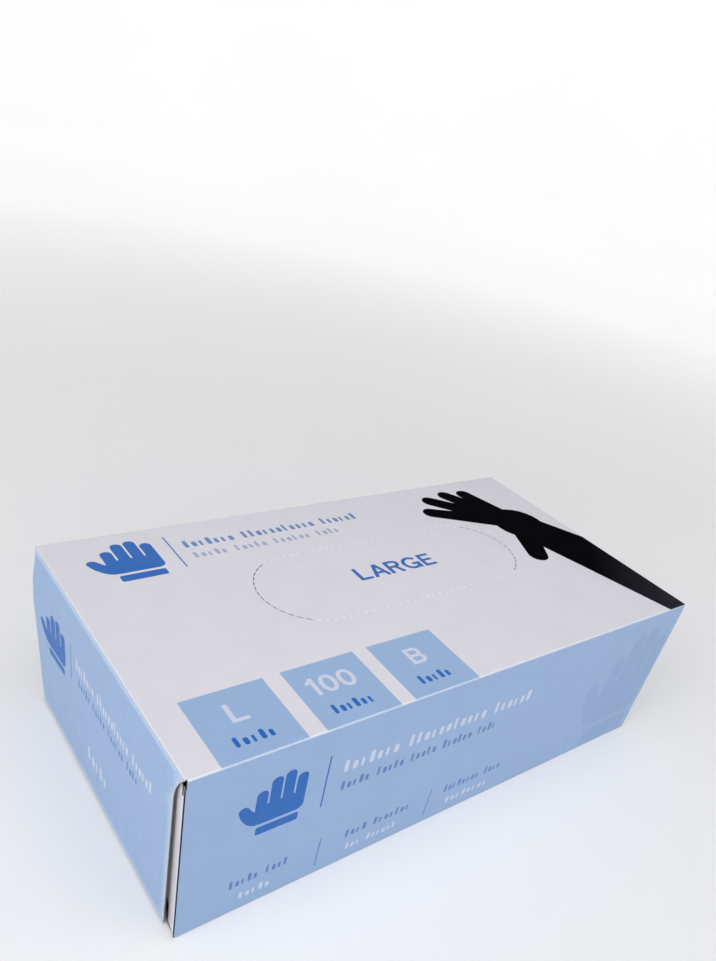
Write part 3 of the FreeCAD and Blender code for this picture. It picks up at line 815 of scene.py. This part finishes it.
def build_walls():
    inset = 0.5
    front_creases = {"top": HALF_CREASE, "bottom": HALF_CREASE}
    place = bent(FRONT, front_creases, corner_bulge)
    edges = ("top", "bottom", "left", "right")
    lines = fold_lines(FRONT, edges)
    outline = tube_outline(FRONT, inset)
    front = build_sheet(
        "front_skin", outline, place, "blue", wall_artwork(), (), lines, 5.0, edge_wear_and_highlight(FRONT, edges[:2])
    )
    back_side = Side(BACK.corner, BACK.right, BACK.down, BACK.width, HEIGHT - box("glue_flap")[0][2])
    place = bent(back_side, {"top": HALF_CREASE, "bottom": WHOLE_CREASE}, WALL_SWELL)
    lines = fold_lines(back_side, edges)
    outline = tube_outline(back_side, inset)
    back = build_sheet(
        "back_skin", outline, place, "blue", wall_artwork(), (), lines, 5.0, edge_wear_and_highlight(back_side, edges[:2])
    )
    place = bent(BOTTOM, {"top": HALF_CREASE}, unswollen)
    end = HALF_L - box("bottom_panel")[1][0]
    corner, far = INNER_INSET, WIDTH - 0.1  # beside the inner flaps' creases, the corners run to the very end
    left_half = [(end, far), (end, WIDTH - corner), (end + CREASE, WIDTH - corner)]
    left_half += [(end + CREASE, corner), (end, corner), (end, 0)]
    outline = left_half + [(LENGTH - u, v) for u, v in reversed(left_half)]
    lines = fold_lines(BOTTOM, ("top",))
    bottom = build_sheet(
        "bottom_skin", outline, place, "blue", (), (), lines, 8.0, edge_wear_and_highlight(BOTTOM, ("top",))
    )
    for piece, node in ((front, "front_panel"), (back, "back_panel"), (bottom, "bottom_panel")):
        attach(piece, "carton")
        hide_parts(node)


# ----------------------------------------
# The end closures


def mirrored(outline, width):
    return [(width - u, v) for u, v in reversed(outline)]


def outer_flap_outline(side):
    """A hollow shoulder and a step in on the front side; the back side is nearly straight."""
    low = box("left_outer_flap")[0][2]
    bottom = HEIGHT - low
    hinge, shoulder, free, back, waist, radius, corner = 0.8, 6.2, 6.4, 1.4, 14.0, 18.0, 0.8
    start, end = np.array([hinge, CREASE]), np.array([shoulder, waist])
    chord = end - start
    away = np.array([-chord[1], chord[0]]) / np.linalg.norm(chord)
    centre = (start + end) / 2 + away * math.sqrt(radius**2 - (np.linalg.norm(chord) / 2) ** 2)
    angles = [math.degrees(math.atan2(*(p - centre)[::-1])) for p in (start, end)]
    outline = arc(*centre, radius, *angles, 10)
    outline += arc(free + corner, bottom - corner, corner, 180, 90, 4)
    outline += arc(WIDTH - back - corner, bottom - corner, corner, 90, 0, 4)
    outline.append((WIDTH - hinge, CREASE))
    return outline if side == "right" else mirrored(outline, WIDTH)


def inner_flap_outline():
    low, high = box("left_inner_flap")[0][2], box("left_inner_flap")[1][2]
    free, corner = 12.0, 2.0
    top, bottom = HEIGHT - high, HEIGHT - low - CREASE
    tip = arc(free + corner, top + corner, corner, 180, 270, 4)
    left_half = [(INNER_INSET, bottom)] + tip
    return left_half + mirrored(left_half, WIDTH)


DUST_TOP, DUST_FOOT = 3.4, 0.6  # a dust crease's ends: below the top, and above the base
DUST_ROOT = 1.6  # where a dust flap's sheet begins, from the carton's side


def dust_flap_outline():
    """The dust flap at the left as seen from outside; the one at the right is its mirror image."""
    notch, tip, toe, elbow, corner = 2.6, 45.0, 7.2, 24.5, 2.0
    high, shoulder, drop, rise = 2.2, 7.7, 20.3, 2.0
    foot, level = HEIGHT - DUST_FOOT, HEIGHT - elbow - rise
    slope = math.atan2(drop, tip - notch)
    offset = corner / math.cos(slope)
    first = high + corner * math.tan(slope) + offset
    last = high + (tip - corner - notch) * math.tan(slope) + offset
    turned = math.degrees(slope)
    outline = [(DUST_ROOT, foot), (DUST_ROOT, shoulder), (notch, shoulder)]
    outline += arc(notch + corner, first, corner, 180, 270 + turned, 5)
    outline += arc(tip - corner, last, corner, turned - 90, 0, 4)
    outline += arc(tip - corner, level - corner, corner, 0, 90, 4)
    outline += [(elbow, level), (toe, HEIGHT - toe - rise), (toe, foot)]
    return outline


def sprung(end, face, spring):
    """Places an end's flat points at a face's distance from the middle, sprung outward by a function."""
    inset = HALF_L - face

    def place(flat, depth):
        across, along = flat[:, 0], flat[:, 1]
        return end.at(across, along, spring(across, along) - inset - depth)

    return place


def outer_spring(side):
    """The outer flap is glued in its middle. Its front edge springs out low down, its back edge high up."""

    def spring(across, along):
        u, v = across / WIDTH, np.clip(along / HEIGHT, 0, 1)
        near = u if side == "left" else 1 - u
        low_corner = 0.8 * np.clip((near - 0.6) / 0.4, 0, 1) ** 1.6 * np.clip(v / 0.9, 0, 1) ** 1.1
        high_corner = 2.5 * np.clip((0.34 - near) / 0.34, 0, 1) ** 1.6
        high_corner = high_corner * np.clip(v / 0.2, 0, 1) ** 0.8 * np.clip((1 - v) / 0.8, 0, 1)
        middle = 0.3 * np.sin(math.pi * u) * np.sin(math.pi * v) ** 2
        middle += 0.55 * (1 - np.exp(-along / 7)) * np.clip((1 - near) / 0.3, 0.15, 1)
        dents = 0.10 * np.sin(7.5 * u + 3.1 * v) * np.sin(math.pi * v)
        return (low_corner + high_corner + middle + dents) * np.clip((along - CREASE) / 5, 0, 1)

    return spring


def dust_spring(across, along):
    """A dust flap stands off its face near its root, where its crease pushes it out."""
    near = np.minimum(across, WIDTH - across)
    return 0.9 * np.exp(-(((near - DUST_ROOT) / 3.2) ** 2))


def flap_wear(outline):
    """Wear along a flap's cut edge."""
    rim = np.array(outline + outline[:1])

    def wear_and_highlight(flat):
        return 0.6 * np.clip(1 - nearest_gap(flat, rim[:-1], rim[1:]) / 0.5, 0, 1)

    return wear_and_highlight


def build_flaps(side):
    end = ENDS[side]
    faces = {part: abs(box(f"{side}_{part}")[0 if side == "left" else 1][0]) for part in
             ("outer_flap", "inner_flap", "front_dust_flap")}
    outline = outer_flap_outline(side)
    lines = fold_lines(end, ("top",))[3:]
    outer = build_sheet(
        f"{side}_outer_flap_skin", outline, sprung(end, faces["outer_flap"], outer_spring(side)), "blue",
        end_artwork(), (), lines, 5.0, flap_wear(outline),
    )
    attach(outer, f"{side}_outer")
    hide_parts(f"{side}_outer_flap")

    outline = inner_flap_outline()
    inner = build_sheet(
        f"{side}_inner_flap_skin", outline, sprung(end, faces["inner_flap"], unswollen), "white",
        (), (), (), 6.0, flap_wear(outline),
    )
    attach(inner, f"{side}_inner")
    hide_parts(f"{side}_inner_flap")

    for wall in ("front", "back"):
        outline = dust_flap_outline()
        if (side == "left") == (wall == "front"):
            outline = mirrored(outline, WIDTH)
        flap = build_sheet(
            f"{side}_{wall}_dust_flap_skin", outline, sprung(end, faces["front_dust_flap"], dust_spring),
            "white", (), (), (), 2.5, flap_wear(outline),
        )
        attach(flap, f"{side}_{wall}_dust")
        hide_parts(f"{side}_{wall}_dust_flap")


# ----------------------------------------
# Crease strips: each runs from a fixed panel round to a flap


ARM_EDGE = 61  # how far from the front the printed arm runs over the top's right crease
STRIP_INKS = ("white", "blue", "black", "groove_shade", "bare", "edge")


def crease_strip(name, profile, axis, low, high, inks):
    """A strip swept along a crease. The profile is outer and inner points across it, in order."""
    outer, inner = (np.array(p, float) for p in profile)
    rows = len(outer)
    stations = np.linspace(low, high, max(3, int(abs(high - low) / 6)))
    axis = np.array(axis, float)
    places = [p + axis * s for s in stations for line in (outer, inner) for p in line]
    wide = 2 * rows
    faces, numbers = [], []

    def add(face, ink):
        faces.append(face)
        numbers.append(STRIP_INKS.index(ink))

    for i in range(len(stations) - 1):
        a, b = i * wide, (i + 1) * wide
        for j in range(rows - 1):
            mark = inks(j, stations[i : i + 2].mean())
            add((a + j, a + j + 1, b + j + 1, b + j), mark)
            add((a + rows + j, b + rows + j, b + rows + j + 1, a + rows + j + 1), "bare")
        add((a, b, b + rows, a + rows), "edge")
        last = rows - 1
        add((a + last, a + rows + last, b + rows + last, b + last), "edge")
    for base, flip in ((0, False), ((len(stations) - 1) * wide, True)):
        for j in range(rows - 1):
            face = (base + j, base + rows + j, base + rows + j + 1, base + j + 1)
            add(face[::-1] if flip else face, "edge")
    across = np.linspace(-1, 1, rows)
    # Rows across the middle of a crease carry a painted highlight line along with the cracked ink; dust
    # creases have none.
    row_wear_and_highlight = 0.0 * across if name.endswith("dust_crease") else np.clip(1.1 - 1.6 * np.abs(across), 0, 0.9)
    wear_and_highlight = np.tile(np.concatenate([row_wear_and_highlight, np.zeros(rows)]), len(stations))
    strip = make_object(name, places, faces, numbers, [INKS[i] for i in STRIP_INKS], wear_and_highlight, 60)
    return strip


def quarter(corner, into_panel, into_flap, steps=8):
    """Outer and inner points of a quarter-round crease, from the panel to the flap."""
    corner, a, b = (np.array(p, float) for p in (corner, into_panel, into_flap))
    lines = []
    for radius in (CREASE, CREASE - BOARD):
        angles = np.linspace(0, math.pi / 2, steps + 1)
        ways = [(CREASE - radius * math.sin(t), CREASE - radius * math.cos(t)) for t in angles]
        lines.append([corner + a * inward + b * down for inward, down in ways])
    return lines


def oriented(strip):
    """Turns every face outward."""
    work = bmesh.new()
    work.from_mesh(strip.data)
    bmesh.ops.recalc_face_normals(work, faces=work.faces)
    work.to_mesh(strip.data)
    work.free()
    return strip


def build_outer_crease(side, sign):
    """Between the top and an outer flap; the arm of the printed hand runs over the right one."""
    profile = quarter((sign * HALF_L, 0, HEIGHT), (-sign, 0, 0), (0, 0, -1))

    def inks(row, along):
        on_top = row < 4
        if side == "right" and on_top and along < ARM_EDGE - HALF_W:
            return "black"
        return "white" if on_top else "blue"

    reach = HALF_W - 0.8
    strip = crease_strip(f"{side}_outer_crease", profile, (0, 1, 0), -reach, reach, inks)
    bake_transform(oriented(strip))


def build_inner_crease(side, sign):
    """Between the bottom and an inner flap, run on up to where the flap's sheet begins."""
    face = abs(box(f"{side}_inner_flap")[0 if side == "left" else 1][0])
    profile = quarter((sign * face, 0, 0), (-sign, 0, 0), (0, 0, 1))
    low = HEIGHT - inner_flap_outline()[0][1]
    for line in profile:
        line.append(line[-1] * (1, 1, 0) + np.array([0, 0, low]))

    def inks(row, along):
        return "blue"

    reach = HALF_W - INNER_INSET
    strip = crease_strip(f"{side}_inner_crease", profile, (0, 1, 0), -reach, reach, inks)
    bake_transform(oriented(strip))


def build_dust_creases(side, sign):
    """Between the front or back panel and its dust flap: a groove coloured with navy painted shade, cut to
    each profile.
    """
    dust_face = abs(box(f"{side}_front_dust_flap")[0 if side == "left" else 1][0])
    x_root = dust_face + dust_spring(np.array([DUST_ROOT]), np.array([40.0]))[0]
    outer_cuts = ((0.5, 0), (0.2, 0.02), (0.02, 0.2), (0.04, 0.5), (0.55, 0.75), (0.6, 1.05))
    inner_cuts = ((0.5, 0), (0.45, 0.02), (0.42, 0.1), (0.6, 0.2), (0.8, 0.4), (0.9, 1.1 - BOARD))
    outer = [(HALF_L - x, HALF_W - y) for x, y in outer_cuts]
    outer += [(x_root + 0.02, HALF_W - 1.35), (x_root, HALF_W - DUST_ROOT)]
    inner = [(HALF_L - x, HALF_W - BOARD - y) for x, y in inner_cuts]
    inner += [(x_root - BOARD + 0.02, HALF_W - 1.4), (x_root - BOARD, HALF_W - DUST_ROOT)]

    # The middle rows take the groove's navy painted shade.
    def inks(row, along):
        return ("blue", "groove_shade", "groove_shade", "groove_shade", "groove_shade", "groove_shade", "white")[row]

    for wall, way in (("front", -1), ("back", 1)):
        profile = [[np.array([sign * x, way * y, 0.0]) for x, y in line] for line in (outer, inner)]
        name = f"{side}_{wall}_dust_crease"
        strip = crease_strip(name, profile, (0, 0, 1), DUST_FOOT, HEIGHT - DUST_TOP, inks)
        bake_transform(oriented(strip))


# ----------------------------------------
# The gloves


def glove_outline():
    """A flat glove, cuff at 0 and fingers along the first axis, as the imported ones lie."""
    palm, gap, root, length = 53.0, 2.4, 150.0, 230.0
    width = (2 * palm - 3 * gap) / 4
    tips = [length - 30, length - 9, length, length - 11]
    outline = [tuple(p) for p in through([(0, -49), (28, -47.6), (55, -47), (88, -50.5), (115, -palm)], 3)]
    for number, tip in enumerate(tips):
        low = -palm + number * (width + gap)
        if number:
            outline += arc(root + gap / 2, low - gap / 2, gap / 2, 270, 90, 3)
        outline += arc(tip - width / 2, low + width / 2, width / 2, -90, 90, 10)
    outline += [tuple(p) for p in through([(115, palm), (88, 50.5), (55, 47), (28, 47.6), (0, 49)], 3)]
    return outline


def thumb_outline():
    """The thumb folded over the palm."""
    width, length, turn = 26.0, 72.0, math.radians(-36.0)
    loop = arc(0, 0, width / 2, 90, 270, 8) + arc(length - width, 0, width / 2, -90, 90, 8)
    cos, sin = math.cos(turn), math.sin(turn)
    return [(92 + x * cos - y * sin, 36 + x * sin + y * cos) for x, y in loop]


def film_pair(outline, pitch):
    """A pillow's flat points, its triangles, and how far each point is from the outline."""
    flat, triangles, _ = partition(outline, (), (), (), pitch)
    rim = np.array(outline)
    gaps = nearest_gap(flat, rim, np.roll(rim, -1, 0))
    return flat, triangles, gaps


def creased_film(flat, seed, amount):
    """A smooth wander of the film's height, different for each glove."""
    x, y = flat.T
    waves = np.sin(x / 19 + 1.7 * seed) * np.cos(y / 13 - 0.9 * seed)
    waves += 0.7 * np.sin((x + 1.3 * y) / 11 + 2.3 * seed)
    ridges = np.sin((0.35 * x + y) / 4.6 + seed) * np.exp(-(((x - 100 - 25 * math.sin(seed)) / 50) ** 2))
    return amount * (0.5 * waves / 1.7 + 0.5 * ridges)


def glove_shells(films, number, amount):
    """Points and faces of one packed glove: the hand, and the thumb on it. Cuffs lie at alternate ends."""
    places, faces = [], []
    base, pitch, film = 1.4, 0.6, 0.2
    sway, askew = 4.5 * math.sin(2.4 * number), 1.1 * math.sin(1.7 * number)
    turn = math.radians(180 * (number % 2) + askew)
    for layer, (flat, triangles, gaps) in enumerate(films):
        count = len(flat)
        half = film / 2 * np.clip(gaps / 1.2, 0, 1) ** 0.5
        if layer == 0:
            half = half + 0.07 * np.exp(-(((flat[:, 0] - 0.8) / 0.7) ** 2)) * (gaps > 0)
        middle = base + number * pitch + film * (layer + 0.5) + creased_film(flat, number, amount)
        x = (flat[:, 0] - 115) * math.cos(turn) - flat[:, 1] * math.sin(turn)
        y = (flat[:, 0] - 115) * math.sin(turn) + flat[:, 1] * math.cos(turn) + sway
        on_rim = gaps < 1e-6
        upper = np.stack([x, y, middle + half], 1)
        lower = np.stack([x, y, middle - half], 1)[~on_rim]
        first = sum(len(p) for p in places)
        under = np.where(on_rim, np.arange(count), count + np.cumsum(~on_rim) - 1)
        places += [upper, lower]
        faces += [tuple(first + int(i) for i in t) for t in triangles]
        faces += [tuple(first + int(under[i]) for i in t[::-1]) for t in triangles]
    return np.vstack(places), faces


def build_pile():
    coarse = [film_pair(glove_outline(), 11.0), film_pair(thumb_outline(), 9.0)]
    fine = [film_pair(glove_outline(), 4.0), film_pair(thumb_outline(), 4.0)]
    groups = [(f"glove_bundle_{i + 1:02d}", range(10 * i, 10 * i + 10), coarse) for i in range(9)]
    groups += [(f"glove_{i + 1:03d}", [i], fine) for i in range(90, 99)]
    for node, numbers, films in groups:
        places, faces = [], []
        for number in numbers:
            amount = 0.1 if number < 98 else 0.22
            points, triangles = glove_shells(films, number, amount)
            first = sum(len(p) for p in places)
            places.append(points)
            faces += [tuple(first + i for i in t) for t in triangles]
        piece = make_object(f"{node}_film", np.vstack(places), faces, [0] * len(faces), [NITRILE], None, 60)
        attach(piece, "carton")
        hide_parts(node)


def build_first_glove():
    """The uppermost glove, gathered under the opening, with a pinched crown over a flat foot."""
    low, high = box("glove_100_first")
    middle = (low + high) / 2
    length, width = (high - low)[:2]
    rings, spokes = 26, 132
    reach = (length - width) / 2
    places = []
    for ring in range(rings + 1):
        share = ring / rings
        for spoke in range(spokes):
            angle = 2 * math.pi * spoke / spokes
            folds = math.sin(11 * angle + 1.2 * math.sin(2 * angle)) + 0.5 * math.sin(23 * angle + 1.9)
            edge = 1 + 0.018 * math.sin(7 * angle + 0.6) - 0.03
            spread = share * edge
            core = 0.42 * width * spread * math.cos(angle)
            x = spread * (reach * math.tanh(1.6 * math.cos(angle)) / math.tanh(1.6)) + core * 1.19
            y = 0.5 * width * spread * math.sin(angle) * (1 + 0.05 * math.sin(3 * angle))
            twist = 0.9 * (1 - share) ** 2
            x, y = x * math.cos(twist) - y * math.sin(twist), x * math.sin(twist) + y * math.cos(twist)
            crown = 0.5 + 0.5 * math.cos(math.pi * min(1.0, share * 1.02))
            fold_height = 0.55 * share * (1 - share) * 4 * folds * 0.5
            ripple = 0.3 * math.sin(16 * share + 3 * angle) * share * (1 - share) * 4
            z = 0.35 + 4.6 * crown**0.8 + fold_height + ripple
            if ring == rings:
                z = 0.12
            places.append((middle[0] + x, middle[1] + y, low[2] + max(0.05, z)))
    faces = []
    for ring in range(rings):
        for spoke in range(spokes):
            a, b = ring * spokes + spoke, ring * spokes + (spoke + 1) % spokes
            faces.append((a, a + spokes, b + spokes, b))
    centre = len(places)
    places.append((middle[0], middle[1], low[2] + 0.02))
    last = rings * spokes
    faces += [(last + (s + 1) % spokes, last + s, centre) for s in range(spokes)]
    faces.append(tuple(range(spokes)))
    piece = make_object("glove_100_first_film", places, faces, [0] * len(faces), [NITRILE], None, 70)
    oriented(piece)
    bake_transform(piece)
    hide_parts("glove_100_first")


# ----------------------------------------
# The CAD nodes that stay


def paint_kept_nodes():
    kept = {"glue_flap": INKS["bare"], "seam_glue": GLUE, "left_flap_glue": GLUE, "right_flap_glue": GLUE}
    for name, material in kept.items():
        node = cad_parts[name]
        node.data.materials.clear()
        node.data.materials.append(material)


# ----------------------------------------
# Floor, light and camera


def build_floor():
    """A pale floor that curves up all round into a backdrop."""
    rings = [0.0, 0.3, 0.7, 1.2, 1.7]
    profile = [(r, 0.0) for r in rings]
    for angle in np.linspace(0.15, math.pi / 2, 10):
        profile.append((1.7 + 1.3 * math.sin(angle), 1.3 - 1.3 * math.cos(angle)))
    profile.append((3.0, 2.2))
    spokes = 64
    places = [(0, 0, 0)]
    for radius, height in profile[1:]:
        for spoke in range(spokes):
            angle = 2 * math.pi * spoke / spokes
            places.append((radius * math.cos(angle), radius * math.sin(angle), height))
    faces = [(0, 1 + s, 1 + (s + 1) % spokes) for s in range(spokes)]
    for ring in range(len(profile) - 2):
        for spoke in range(spokes):
            a = 1 + ring * spokes + spoke
            b = 1 + ring * spokes + (spoke + 1) % spokes
            faces.append((a, a + spokes, b + spokes, b))
    places = np.array(places) / MM
    floor = make_object("floor", places, faces, [0] * len(faces), [floor_paint()], None, 180)
    floor.location.z = -0.0002


def add_light(name, place, power):
    """A soft disc of light, aimed at the carton."""
    data = bpy.data.lights.new(name, "AREA")
    data.shape = "DISK"
    data.size = 0.35
    data.energy = power
    data.color = (1.0, 0.99, 0.98)
    light = bpy.data.objects.new(name, data)
    bpy.context.scene.collection.objects.link(light)
    light.location = place
    light.rotation_mode = "QUATERNION"
    target = Vector((-0.03, -0.03, 0.05))
    light.rotation_quaternion = (target - Vector(place)).to_track_quat("-Z", "Y")


def build_light():
    world = bpy.data.worlds.new("soft_room")
    world.use_nodes = True
    background = world.node_tree.nodes["Background"]
    background.inputs["Color"].default_value = (0.97, 0.98, 1.0, 1)
    background.inputs["Strength"].default_value = 0.18
    bpy.context.scene.world = world
    add_light("overhead", (-0.10, -0.12, 0.42), 0.45)
    add_light("left_key", (-0.50, -0.10, 0.50), 0.80)
    add_light("right_fill", (0.15, -0.20, 0.45), 0.25)
    bpy.context.scene.view_settings.view_transform = "Standard"


def build_camera():
    """The photograph's viewpoint, with the frame shifted down from the lens's axis."""
    data = bpy.data.cameras.new("camera")
    data.lens = 28.63
    data.shift_x = 0.0047
    data.shift_y = 0.1574
    data.clip_start = 0.01
    camera = bpy.data.objects.new("camera", data)
    bpy.context.scene.collection.objects.link(camera)
    forward = Vector((0.55503, 0.59849, -0.57772)).normalized()
    up = Vector((0.21943, 0.56458, 0.79568)).normalized()
    right = forward.cross(up).normalized()
    up = right.cross(forward)
    turn = Matrix((right, up, -forward)).transposed().to_4x4()
    camera.matrix_world = Matrix.Translation((-0.1891, -0.1898, 0.2342)) @ turn
    bpy.context.scene.camera = camera


build_camera()
build_top()
build_tear_out()
build_walls()
for end_side in ("left", "right"):
    build_flaps(end_side)
    way_out = -1 if end_side == "left" else 1
    build_outer_crease(end_side, way_out)
    build_inner_crease(end_side, way_out)
    build_dust_creases(end_side, way_out)
build_pile()
build_first_glove()
paint_kept_nodes()
build_floor()
build_light()
